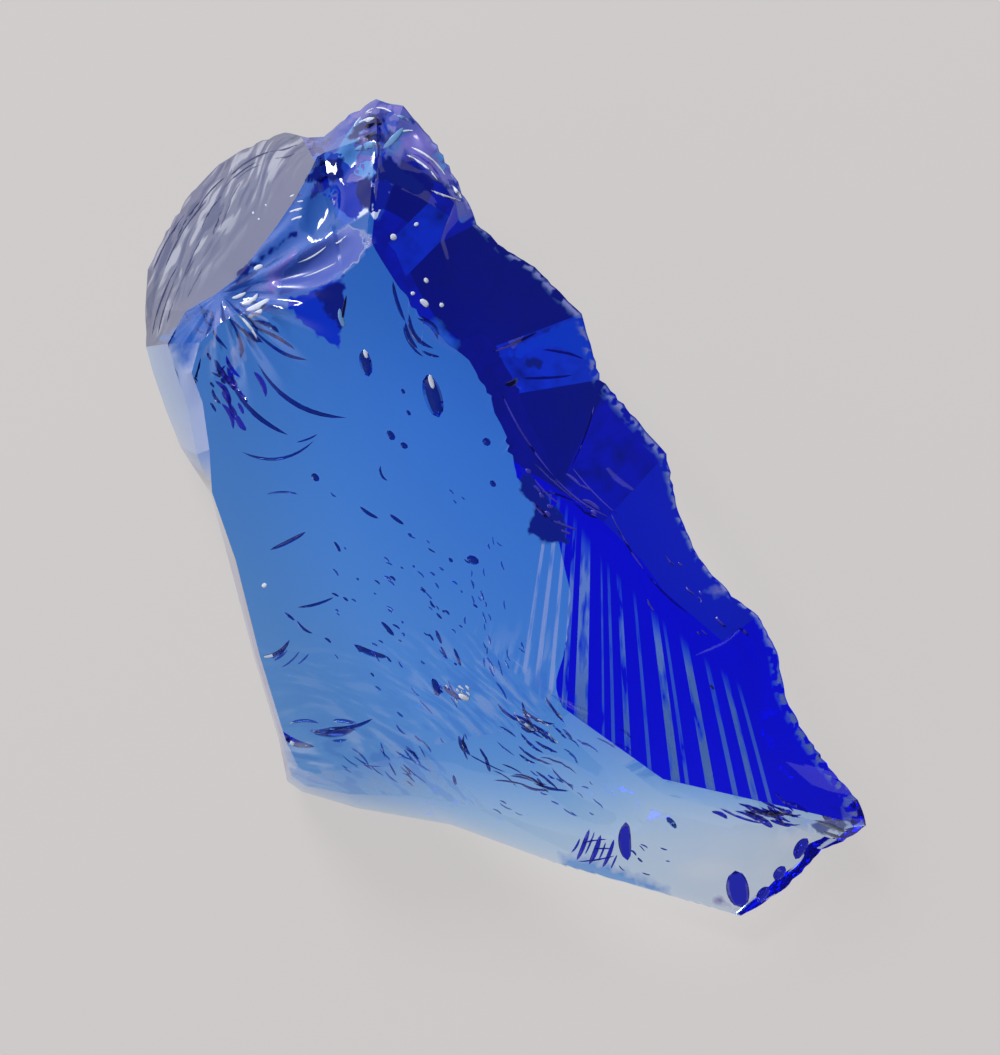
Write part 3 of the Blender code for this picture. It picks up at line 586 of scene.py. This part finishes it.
glassLook = {
    "ior": 1.5,
    "absorbed": (0.07, 0.56, 0.979),             # colour left after a while in the glass
    "density": 290.0,                            # per metre
    "mistRoughness": 0.5,                        # roughness where the glass is all mist
    # what each kind of broken face lets through
    # the deep blues on the right stand in for light's long paths through the thick part; navy, royal, violet,
    # dusk and bright are painted shade and painted light, darker and lighter copies of cobalt for how light
    # passes each facet
    "tints": {
        "cobalt": (0.003, 0.003, 0.56), "navy": (0.0006, 0.0008, 0.13), "royal": (0.005, 0.022, 0.90),
        "violet": (0.002, 0.001, 0.46), "dusk": (0.003, 0.001, 0.17),
        "fracture": (0.20, 0.32, 0.75), "frost": (0.148, 0.150, 0.220), "pale": (0.87, 0.87, 0.97),
        "deepBack": (0.10, 0.10, 0.30), "bright": (0.0001, 0.0001, 0.92)},
    # tint, mist, first and last station, first and last level
    "faces": [
        ("fracture", 0.22, 42.0, 50.6, 1.0, 2.0), ("frost", 0.75, 42.0, 50.2, 2.0, 3.0),
        ("pale", 0.22, 39.0, 42.0, 1.0, 3.0), ("cobalt", 0.0, 3.0, 23.0, 1.0, 3.0),
        ("navy", 0.0, 3.0, 4.3, 1.6, 2.4), ("royal", 0.0, 4.3, 6.0, 1.2, 2.0),
        ("navy", 0.0, 6.0, 9.0, 1.3, 3.0), ("royal", 0.0, 9.0, 11.0, 2.0, 3.0),
        ("navy", 0.0, 11.0, 12.0, 2.0, 3.0), ("dusk", 0.0, 8.5, 12.6, 1.0, 2.0),
        ("bright", 0.0, 12.6, 17.0, 1.0, 2.0), ("violet", 0.0, 12.0, 13.0, 2.0, 3.0),
        ("bright", 0.0, 17.0, 23.0, 1.0, 3.0), ("deepBack", 0.0, 4.0, 23.0, 3.0, 4.0)],
    # breaks on the front, each the corners of its outline
    "panes": {
        "mid": [
            [(-11.9, 11.83), (-9.86, 13.79), (-9.33, 15.31), (-8.81, 15.5), (-9.57, 14.07), (-9.76, 13.21),
             (-11.57, 11.6)],
            [(-14.9, 9.21), (-14.48, 9.83), (-13.71, 9.79), (-13.76, 8.55), (-14.33, 8.17)],
            [(-4.14, 8.79), (-3.19, 9.02), (-2.0, 7.6), (-2.48, 7.21), (-3.43, 7.93)],
            [(-17.19, 7.98), (-15.95, 8.55), (-14.81, 9.12), (-14.33, 7.93), (-14.71, 6.64), (-15.29, 6.64),
             (-15.95, 7.93)],
            [(2.4, -16.3), (4.2, -16.5), (6.2, -17.3), (8.0, -18.0), (8.0, -18.8), (4.6, -18.2),
             (2.4, -17.4)]],
        "royal": [
            [(-8.1, 15.2), (-6.9, 15.5), (-6.5, 14.4), (-7.0, 13.5), (-7.9, 14.0)],
            [(-10.26, 9.45), (-9.2, 8.4), (-7.86, 7.6), (-7.5, 9.45), (-7.6, 11.0), (-8.95, 10.4),
             (-10.26, 9.95)],
            [(-0.52, 7.21), (3.38, 9.31), (4.05, 8.07), (4.48, 6.64), (2.81, 7.6), (1.57, 7.69),
             (0.52, 7.12)]],
        "cyan": [
            [(-9.76, 14.6), (-8.81, 15.02), (-8.1, 14.45), (-7.52, 13.12), (-8.43, 12.88), (-9.0, 12.69),
             (-9.71, 13.02)],
            [(-7.19, 16.83), (-6.52, 17.21), (-5.57, 17.21), (-5.86, 16.74), (-6.71, 16.64)],
            [(-5.76, 16.83), (-4.9, 18.02), (-4.52, 18.17), (-4.71, 17.6), (-5.29, 16.55)]],
        "haze": [
            [(-7.38, 13.31), (-6.43, 12.93), (-5.95, 12.45), (-6.43, 12.17)],
            [(-5.19, 17.6), (-3.95, 18.26), (-2.62, 15.6), (-2.9, 15.21), (-3.67, 15.79), (-4.81, 16.74)],
            [(-8.05, 18.26), (-7.19, 19.12), (-6.33, 19.45), (-6.9, 18.83), (-7.48, 17.93)],
            [(-6.24, 19.4), (-5.1, 19.31), (-4.52, 18.74), (-5.29, 18.74), (-5.86, 18.55)],
            [(-11.67, 10.26), (-11.29, 11.21), (-9.86, 12.45), (-9.57, 12.17), (-10.24, 11.02),
             (-10.71, 9.88)],
            [(9.0, -3.83), (9.86, -3.26), (10.62, -3.93), (9.76, -4.12)],
            [(9.8, -18.4), (10.4, -18.5), (11.2, -19.3), (9.95, -18.9)]],
        # the first pale pane, the crescent beside the knob, is a painted reflection of the light in a hollow
        # break
        "pale": [
            [(-10.76, 10.07), (-10.62, 10.93), (-9.86, 11.98), (-8.81, 12.64), (-7.38, 13.36),
             (-6.9, 13.12), (-6.43, 12.36), (-7.0, 11.6), (-8.43, 10.5), (-9.52, 10.17)],
            [(-8.62, 16.74), (-7.95, 17.88), (-7.52, 17.74), (-8.0, 16.69)],
            [(-9.19, 17.4), (-9.14, 17.98), (-8.81, 18.12), (-8.48, 17.88), (-8.57, 17.21), (-8.9, 17.12)],
            [(14.52, -14.98), (15.19, -14.69), (16.43, -14.98), (16.71, -15.36), (15.86, -15.45),
             (14.9, -15.55)]],
        "navy": [
            [(-9.0, 10.35), (-8.3, 10.6), (-7.6, 11.0), (-7.5, 9.6), (-7.7, 8.3), (-8.6, 9.4)],
            [(-7.2, 15.5), (-6.5, 15.6), (-6.0, 14.8), (-6.3, 13.8), (-6.9, 14.2)],
            [(-9.57, 15.4), (-8.71, 16.45), (-7.67, 16.64), (-7.52, 15.5), (-8.71, 15.31)],
            [(-6.62, 15.45), (-5.48, 16.69), (-3.67, 15.02), (-3.95, 14.69), (-5.1, 15.17), (-6.05, 15.4)],
            [(-12.81, 11.02), (-12.14, 11.83), (-11.86, 11.69), (-9.86, 13.21), (-9.76, 12.98),
             (-11.67, 11.5), (-12.62, 10.64)],
            [(-7.57, 17.4), (-7.19, 18.26), (-6.43, 18.83), (-5.76, 18.45), (-5.86, 18.07), (-6.71, 17.98),
             (-7.19, 17.31)],
            [(-6.71, 17.69), (-5.48, 17.88), (-5.1, 17.6), (-5.67, 17.26), (-6.62, 17.26)],
            [(-4.57, 18.69), (-3.95, 18.45), (-3.9, 18.07), (-4.52, 18.26)],
            [(-4.86, 16.83), (-3.76, 15.88), (-2.71, 15.4), (-2.62, 15.02), (-3.67, 15.4), (-4.71, 16.36)],
            [(0.71, 7.02), (1.19, 7.31), (1.81, 7.21), (1.57, 6.64), (0.9, 6.6)],
            [(0.6, 2.1), (1.5, 1.3), (1.9, 0.6), (2.7, -0.3), (2.9, -1.6), (1.8, -1.5), (0.86, -1.07),
             (1.24, 0.26), (0.5, 1.07)]]},
    # colour, mist, softness of the outline in mm; later ones lie over earlier ones
    "paneLooks": {
        "mid": ((0.10, 0.30, 0.85), 0.08, 0.50), "royal": ((0.002, 0.034, 0.92), 0.0, 0.10),
        "cyan": ((0.08, 0.21, 0.56), 0.24, 0.12), "haze": ((0.24, 0.17, 0.55), 0.45, 0.30),
        "pale": ((0.085, 0.12, 0.45), 0.55, 0.12), "navy": ((0.004, 0.004, 0.14), 0.0, 0.12)},
    "paneSwing": 0.45,                           # how far grain shifts the outlines, mm
    # ribs on the flank: slope from the fan's centre, half width in slope, strength
    "ribs": [
        (-0.147, 0.005, 0.4), (-0.118, 0.005, 0.45), (-0.09, 0.004, 0.45), (-0.06, 0.006, 0.9),
        (-0.028, 0.013, 1.0), (0.016, 0.003, 0.4), (0.034, 0.003, 0.4), (0.06, 0.006, 0.8),
        (0.096, 0.003, 0.4), (0.139, 0.008, 1.0), (0.158, 0.003, 0.4), (0.197, 0.007, 1.0),
        (0.237, 0.004, 0.5), (0.268, 0.006, 0.8), (0.292, 0.003, 0.3)],
    "ribRange": (-0.20, 0.35), "ribGaps": (0.28, 0.52),
    # the ribs' pale colour is partly painted light, where light comes through the ribs, and partly the mist
    # of their rough faces
    "ribColour": (0.22, 0.36, 0.82), "ribMist": 0.55,
    # marks: where their pattern turns from bare to full, colour, and mist if any
    # the ripples' darker streaks are painted shade and their paler, misty ones painted highlight of the
    # ripples' slopes
    "ripples": [(0.46, 0.38, (0.30, 0.42, 0.80), 0.0), (0.53, 0.66, (0.66, 0.80, 1.0), 0.34)],
    # dark lines of painted shade and pale ones of painted highlight along the frosted facet's ripples
    "frostLines": [(0.47, 0.40, (0.050, 0.06, 0.14)), (0.55, 0.62, (0.44, 0.45, 0.51))],
    # dark streaks of painted shade and pale ones of painted highlight along the hackle ridges
    "rays": [(0.44, 0.34, (0.0006, 0.0008, 0.13), 0.0), (0.60, 0.68, (0.38, 0.34, 0.66), 0.35)],
    # chips: share of them below this one, colour, mist
    "chips": [
        (0.0, (0.006, 0.006, 0.35), 0.0), (0.26, (0.03, 0.07, 0.70), 0.10), (0.50, (0.12, 0.26, 0.90), 0.20),
        (0.60, (0.18, 0.15, 0.50), 0.38), (0.86, (0.50, 0.56, 0.76), 0.80), (0.94, (0.14, 0.36, 0.74), 0.40)],
    "chipScale": 1.15, "chipStretch": (900.0, 600.0, 0.0), "chipEdge": (0.35, 0.5),
    "flecks": (0.38, 0.85, (0.001, 0.001, 0.10), 0.0),  # dark ones in the deep facets
    "rim": (0.46, 0.60, (0.38, 0.34, 0.66), 0.6),  # pale flecks along the edge: bruised chips, partly painted highlights where they catch the light
    "paleTip": ((1.0, 0.95, 1.0), 0.0),          # colour and mist that the thin foot takes towards the tip
    "grainSize": 2.2, "mottleSize": 0.9,         # of the two noises, per mm
    "frostTurn": 64.0,                           # degrees, the way the frosted facet's ripples run
    "wideTopFrom": 30,                           # from this station the top's marks reach to the shoulder
    # how close the streaks' pattern lies, to a mm, a unit of slope or a radian, in u and in v
    "weave": {"frost": (2.6, 0.35), "flank": (60.0, 0.5), "rays": (0.5, 5.0), "front": (0.42, 2.3)},
    # where marks lie: first and last station and softness, how a strength rises, or as zone() reads it
    "deepStations": (3.0, 13.0, 0.01),
    "flankStations": (13.0, 22.9, 0.2), "ribStart": (16.6, 18.4), "ribLean": 22.0,
    "tipStations": (23.5, 32.0, 0.5), "tipRise": (8.0, 19.0),
    "rayStrength": 0.8, "rayReach": (4.6, 1.6), "rippleStrength": 0.55,
    "frostZone": [(42.02, 50.18, 0.02, 2.15, 2.6, 0.6)],
    "chipZone": [
        (0.0, 3.0, 0.6, 1.25, 1.5, 1.0), (49.9, 51.0, 0.3, 1.25, 1.5, 1.0), (2.5, 5.5, 0.5, 2.45, 2.7, 1.0)],
    "rimZone": [(4.0, 23.0, 0.5, 2.88, 2.96, 0.85)],
}


def facetValues(levels, along):
    # each face takes the tint and the mist of the last row of the table that holds its middle
    middleLevel = (levels[1:-2] + levels[2:-1]) / 2
    middleStation = (along + np.append(along[1:], len(sum(sides, [])))) / 2
    level, station = np.broadcast_arrays(middleLevel[:, None], middleStation[None, :])
    tint, mist = np.ones((*level.shape, 4)), np.zeros(level.shape)
    tint[..., 3] = window(station, *glassLook["deepStations"]) * (level > 1.0) * (level < 3.0)
    for name, haze, firstStation, lastStation, firstLevel, lastLevel in glassLook["faces"]:
        inside = (station > firstStation) & (station < lastStation)
        inside = inside & (level > firstLevel) & (level < lastLevel)
        tint[inside, :3] = glassLook["tints"][name]
        mist[inside] = haze
    fan = np.tile([1.0, 1.0, 1.0, 0.0], (len(along), 1))
    none = np.zeros(len(along))
    tints, mists = [fan, tint.reshape(-1, 4), fan], [none, mist.ravel(), none]
    for kind, count in flawCounts.items():
        tints.append(np.tile([*flaws["kinds"][kind][0], 0.0], (count, 1)))
        mists.append(np.full(count, flaws["kinds"][kind][1]))
    return np.vstack(tints), np.concatenate(mists)


def storePointValues(mesh, name, grids, elsewhere):
    # three values to a point of the skin, and one value for its two poles and the flaws
    values = np.full((len(mesh.vertices), 3), elsewhere)
    inner = np.stack([np.broadcast_to(field, grid.shape[:2])[1:-1].ravel() for field in grids], axis=1)
    values[1:1 + len(inner)] = inner
    mesh.attributes.new(name, "FLOAT_VECTOR", "POINT").data.foreach_set("vector", values.ravel())


def storeFaceValues(mesh, tint, mist):
    colours = mesh.attributes.new("tint", "FLOAT_COLOR", "CORNER")
    corners = np.zeros(len(mesh.polygons), dtype=np.int32)
    mesh.polygons.foreach_get("loop_total", corners)
    colours.data.foreach_set("color", np.repeat(tint, corners, axis=0).ravel())
    mesh.attributes.new("mist", "FLOAT", "FACE").data.foreach_set("value", mist)


def glassMaterial():
    material = bpy.data.materials.new("cobaltGlass")
    material.use_nodes = True
    tree = material.node_tree
    shader = tree.nodes["Principled BSDF"]
    shader.inputs["IOR"].default_value = glassLook["ior"]
    shader.inputs["Transmission Weight"].default_value = 1.0

    def attribute(name, output="Vector"):
        return addNode(tree, "Attribute", {}, attribute_name=name).outputs[output]

    def calc(operation, *values):
        return addNode(tree, "Math", dict(enumerate(values)), operation=operation).outputs["Value"]

    def vectorCalc(operation, *values):
        return addNode(tree, "VectorMath", dict(enumerate(values)), operation=operation).outputs["Vector"]

    def noise(vector, scale, detail):
        inputs = {"Vector": vector, "Scale": scale, "Detail": detail}
        return addNode(tree, "TexNoise", inputs, noise_dimensions="2D").outputs["Fac"]

    def step(value, low, high):
        # a straight rise from 0 at low to 1 at high
        made = calc("MULTIPLY_ADD", value, 1.0 / (high - low), -low / (high - low))
        made.node.use_clamp = True
        return made

    def ramp(value, stops):
        # plain steps from each stop to the next
        node = addNode(tree, "ValToRGB", {"Fac": value})
        node.color_ramp.interpolation = "CONSTANT"
        elements = node.color_ramp.elements
        elements.remove(elements[1])
        elements[0].position, elements[0].color = stops[0]
        for position, stopColour in stops[1:]:
            elements.new(position).color = stopColour
        return node

    place = addNode(tree, "TexCoord", {}).outputs["Object"]
    grain = noise(place, glassLook["grainSize"] / metres, 1.0)
    mottle = noise(place, glassLook["mottleSize"] / metres, 2.0)
    ribPlace = split(tree, attribute("weave"))[2]
    streak = noise(attribute("weave"), 1.0, 2.0)
    flank, frosted, fractured = split(tree, attribute("zones"))
    chipped, rim, tip = split(tree, attribute("borders"))
    colour = attribute("tint", "Color")
    mist = attribute("mist", "Fac")

    def lay(amount, paint, haze):
        # paint the colour over what is there, and its mist too
        nonlocal colour, mist
        colour = blend(tree, amount, colour, (*paint, 1.0))
        mist = blend(tree, amount, mist, haze, "FLOAT")

    def layMarks(pattern, where, low, high, paint, haze):
        lay(calc("MULTIPLY", step(pattern, low, high), where), paint, haze)

    layMarks(mottle, attribute("tint", "Alpha"), *glassLook["flecks"])

    # ribs that fan out over the flank, pale: partly painted light coming through them, partly the mist of
    # their rough faces
    first, last = glassLook["ribRange"]
    stops = [(0.0, (0.0, 0.0, 0.0, 1.0))]
    for middle, halfWidth, strength in glassLook["ribs"]:
        stops.append(((middle - halfWidth - first) / (last - first), (strength, strength, strength, 1.0)))
        stops.append(((middle + halfWidth - first) / (last - first), (0.0, 0.0, 0.0, 1.0)))
    ribs = calc("MULTIPLY", ramp(ribPlace, stops).outputs["Color"], step(streak, *glassLook["ribGaps"]))
    lay(calc("MULTIPLY", ribs, flank), glassLook["ribColour"], glassLook["ribMist"])

    # the thin foot turns pale towards the tip, and curved ripples cross the lower front, with darker streaks
    # of painted shade and paler ones of painted highlight
    lay(tip, *glassLook["paleTip"])
    rippled = attribute("rippled", "Fac")
    for look in glassLook["ripples"]:
        layMarks(streak, rippled, *look)

    # long ripples on the frosted facet, as misty as the facet: dark lines of painted shade and pale ones of
    # painted highlight
    for low, high, paint in glassLook["frostLines"]:
        colour = blend(tree, calc("MULTIPLY", step(streak, low, high), frosted), colour, (*paint, 1.0))

    # rays from the point where the break began: dark streaks of painted shade and pale ones of painted
    # highlight along the hackle ridges
    for look in glassLook["rays"]:
        layMarks(streak, fractured, *look)

    # small chips, each with its own share of blue, white and mist
    spots = vectorCalc("ADD", vectorCalc("MULTIPLY", place, glassLook["chipStretch"]), grain)
    inputs = {"Vector": spots, "Scale": glassLook["chipScale"]}
    chips = addNode(tree, "TexVoronoi", inputs, voronoi_dimensions="2D")
    pick = addNode(tree, "SeparateColor", {"Color": chips.outputs["Color"]}).outputs["Red"]
    chipLook = ramp(pick, [(share, (*paint, haze)) for share, paint, haze in glassLook["chips"]])
    amount = step(chipped, *glassLook["chipEdge"])
    colour = blend(tree, amount, colour, chipLook.outputs["Color"])
    mist = blend(tree, amount, mist, chipLook.outputs["Alpha"], "FLOAT")

    # breaks with uneven outlines
    swing = calc("MULTIPLY_ADD", grain, glassLook["paneSwing"], -0.5 * glassLook["paneSwing"])
    looks = list(glassLook["paneLooks"].values())
    for name, group in (("wideBreaks", looks[:3]), ("fineBreaks", looks[3:])):
        sharpness = tuple(1.0 / softness for _, _, softness in group)
        fields = vectorCalc("MULTIPLY", vectorCalc("ADD", attribute(name), swing), sharpness)
        for amount, (paint, haze, _) in zip(split(tree, fields), group):
            lay(amount, paint, haze)

    # pale flecks along the edge: bruised chips, partly painted highlights
    layMarks(grain, rim, *glassLook["rim"])

    tree.links.new(colour, shader.inputs["Base Color"])
    tree.links.new(calc("SUBTRACT", 1.0, mist), shader.inputs["Transmission Weight"])
    tree.links.new(calc("MULTIPLY", mist, glassLook["mistRoughness"]), shader.inputs["Roughness"])
    absorbed = {"Color": (*glassLook["absorbed"], 1.0), "Density": glassLook["density"]}
    volume = addNode(tree, "VolumeAbsorption", absorbed)
    tree.links.new(volume.outputs["Volume"], tree.nodes["Material Output"].inputs["Volume"])
    return material


def weaveField(x, y, level, station):
    # places for the streaks' pattern, which runs along the ripples, down the ribs, or out from where the
    # break began; the third value is a rib's place between the first and the last
    frost, flank, rays, lowerFront = glassLook["weave"].values()
    turn = math.radians(glassLook["frostTurn"])
    u = frost[0] * (x * math.sin(turn) - y * math.cos(turn)) + 0.9 * wobble(x, y, 5.0, 0.4)
    v = frost[1] * (x * math.cos(turn) + y * math.sin(turn))
    down = chunk["fanCentre"][1] - y
    slope = (x - chunk["fanCentre"][0]) / np.maximum(down, 1.0)
    onFlank = (station > 11.0) & (station < 24.0)
    u, v = np.where(onFlank, flank[0] * slope, u), np.where(onFlank, flank[1] * down, v)
    dx, dy = x - chunk["hackleCentre"][0], y - chunk["hackleCentre"][1]
    onTable = onTop(level, station) & ~onFlank
    u = np.where(onTable, rays[0] * np.hypot(dx, dy), u)
    v = np.where(onTable, rays[1] * np.arctan2(dy, dx), v)
    # on the lower front the streaks lie level at the left and slope down more and more towards the right
    low = onTable & (y < -5.0)
    t = np.clip((x + 10.0) / 8.0, 0.0, 1.0)
    fall = 8.0 * (t ** 3 - t ** 4 / 2) + np.maximum(x + 2.0, 0.0)
    u = np.where(low, lowerFront[0] * (x - y), u)
    v = np.where(low, lowerFront[1] * (fall + y) + 3.0 * wobble(x, y, 9.0, 1.1), v)
    first, last = glassLook["ribRange"]
    return u, v, (slope - first) / (last - first)


def onTop(level, station):
    # the table, and from one station on also the band between its crest and the shoulder
    return level < np.where(station > glassLook["wideTopFrom"], 1.98, 1.0)


def markZones(x, y, level, station):
    # how much of each kind of mark lies at each point
    top = onTop(level, station)
    # the ribs begin well below the fan's centre, and lower down the farther right they lean
    fanX, fanY = chunk["fanCentre"]
    start = glassLook["ribLean"] * (x - fanX) / np.maximum(fanY - y, 1.0)
    ribbed = smooth(fanY - y - start, *glassLook["ribStart"]) * (x > 0.2)
    # the ripples are strongest at the right and along the foot
    lower = smooth(y, -4.5, -9.5) * (station < 42)
    most = np.maximum(smooth(x, -6.5, -1.0), smooth(y, -9.5, -11.5))
    rayLength = np.hypot(x - chunk["hackleCentre"][0], y - chunk["hackleCentre"][1])
    pale = smooth(x - y * 0.5, *glassLook["tipRise"]) * smooth(y + 0.45 * x, -5.0, -8.5)
    return {
        "flank": window(station, *glassLook["flankStations"]) * ribbed,
        "frosted": zone(glassLook["frostZone"], level, station),
        "fractured": top * glassLook["rayStrength"] * smooth(rayLength, *glassLook["rayReach"]),
        "rippled": top * lower * glassLook["rippleStrength"] * (0.25 + 0.75 * most),
        "chipped": zone(glassLook["chipZone"], level, station),
        "rim": zone(glassLook["rimZone"], level, station),
        "tip": window(station, *glassLook["tipStations"]) * pale}


x, y = grid[..., 0], grid[..., 1]
level, station = np.broadcast_arrays(levels[:, None], along[None, :])
front = level < 2.99
zones = {name: field * front for name, field in markZones(x, y, level, station).items()}
panes = [glassLook["panes"][name] for name in glassLook["paneLooks"]]
breaks = [np.where(front, outlineField(outlines, x, y), -1.0) for outlines in panes]
storeFaceValues(glass.data, *facetValues(levels, along))
storePointValues(glass.data, "weave", weaveField(x, y, level, station), 0.0)
storePointValues(glass.data, "rippled", [zones["rippled"]] * 3, 0.0)
storePointValues(glass.data, "zones", [zones[name] for name in ("flank", "frosted", "fractured")], 0.0)
storePointValues(glass.data, "borders", [zones[name] for name in ("chipped", "rim", "tip")], 0.0)
storePointValues(glass.data, "wideBreaks", breaks[:3], -1.0)
storePointValues(glass.data, "fineBreaks", breaks[3:], -1.0)
glass.data.materials.append(glassMaterial())
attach(glass, "root")
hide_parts("glass_chunk")
print("glass finished")


studio = {
    "floorSize": 3000.0, "floorDrop": 0.05, "floorColour": (0.05, 0.048, 0.048), "floorRoughness": 0.9,
    "floorGlow": (0.552, 0.533, 0.526),
    # the light that the glass gathers under itself, as a painted pool of light on the floor: an oval, given
    # by its half lengths, with an even middle
    "poolMiddle": (1.4, -5.6), "poolTurn": -55.0, "poolSize": (22.0, 10.5), "poolGlow": 1.2,
    "skyLow": (1.30, 1.29, 1.29), "skyHigh": (0.09, 0.09, 0.095), "skySide": (0.09, 0.09, 0.10),
    "skyRise": (0.25, 0.85),                     # heights of the last low colour and the first high one
    "darkSide": (0.97, -0.24), "sideRise": (-0.45, -0.05),
    "lightAt": (-130, 235, 200), "lightAim": (0, 0, 5), "lightSize": (120, 90), "lightPower": 1.3,
    "cameraAt": (-0.333, -0.762, 284.0), "lens": 200.0,
    "bounces": 12,
}


def makeFloor():
    half = studio["floorSize"] / 2
    corners = np.array([(-half, -half, 0), (half, -half, 0), (half, half, 0), (-half, half, 0)], float)
    corners[:, 2] -= studio["floorDrop"]
    floor = makeMesh("floor", corners, [(0, 1, 2, 3)])
    material = bpy.data.materials.new("paleFloor")
    material.use_nodes = True
    tree = material.node_tree
    shader = tree.nodes["Principled BSDF"]
    shader.inputs["Base Color"].default_value = (*studio["floorColour"], 1.0)
    shader.inputs["Roughness"].default_value = studio["floorRoughness"]
    shader.inputs["Emission Color"].default_value = (*studio["floorGlow"], 1.0)
    # painted pool of light: the floor glows more inside the oval under the glass
    oval = {"Vector": addNode(tree, "TexCoord", {}).outputs["Object"],
            "Location": [c * metres for c in (*studio["poolMiddle"], 0.0)],
            "Rotation": (0.0, 0.0, math.radians(studio["poolTurn"])),
            "Scale": [c * metres for c in (*studio["poolSize"], 1000.0)]}
    pool = addNode(tree, "Mapping", oval, vector_type="TEXTURE").outputs["Vector"]
    far = addNode(tree, "VectorMath", {0: pool}, operation="LENGTH").outputs["Value"]
    glow = swell(tree, far, 1.0, 0.5, studio["poolGlow"], 1.0)
    tree.links.new(glow, shader.inputs["Emission Strength"])
    floor.data.materials.append(material)


def makeSky():
    # bright near the horizon, dim overhead and dim on the side that the deep facets face
    world = bpy.data.worlds.new("studio")
    bpy.context.scene.world = world
    world.use_nodes = True
    tree = world.node_tree
    place = addNode(tree, "TexCoord", {}).outputs["Generated"]
    ways = {0: place, 1: (*studio["darkSide"], 0.0)}
    side = addNode(tree, "VectorMath", ways, operation="DOT_PRODUCT").outputs["Value"]
    overhead = swell(tree, split(tree, place)[2], *studio["skyRise"])
    colour = blend(tree, overhead, (*studio["skyLow"], 1.0), (*studio["skyHigh"], 1.0))
    colour = blend(tree, swell(tree, side, *studio["sideRise"]), colour, (*studio["skySide"], 1.0))
    tree.links.new(colour, tree.nodes["Background"].inputs["Color"])
    tree.nodes["Background"].inputs["Strength"].default_value = 1.0


def makeLight():
    # a soft box that faces its aim
    light = bpy.data.lights.new("topSoftbox", "AREA")
    light.shape = "RECTANGLE"
    light.size, light.size_y = (side * metres for side in studio["lightSize"])
    light.energy = studio["lightPower"]
    made = addObject("topSoftbox", light)
    made.location = [c * metres for c in studio["lightAt"]]
    away = np.array(studio["lightAt"], float) - studio["lightAim"]
    tilt = math.atan2(math.hypot(away[0], away[1]), away[2])
    made.rotation_euler = (tilt, 0.0, math.atan2(away[1], away[0]) + math.pi / 2)


def makeCamera():
    data = bpy.data.cameras.new("camera")
    data.sensor_width = 36.0
    data.lens = studio["lens"]
    data.clip_start = 0.001
    made = addObject("camera", data)
    made.location = [c * metres for c in studio["cameraAt"]]
    bpy.context.scene.camera = made


makeFloor()
makeSky()
makeLight()
makeCamera()
cycles = bpy.context.scene.cycles
cycles.max_bounces = cycles.transmission_bounces = cycles.glossy_bounces = studio["bounces"]
cycles.diffuse_bounces = 2
bpy.context.scene.view_settings.view_transform = "Standard"

print("scene made")
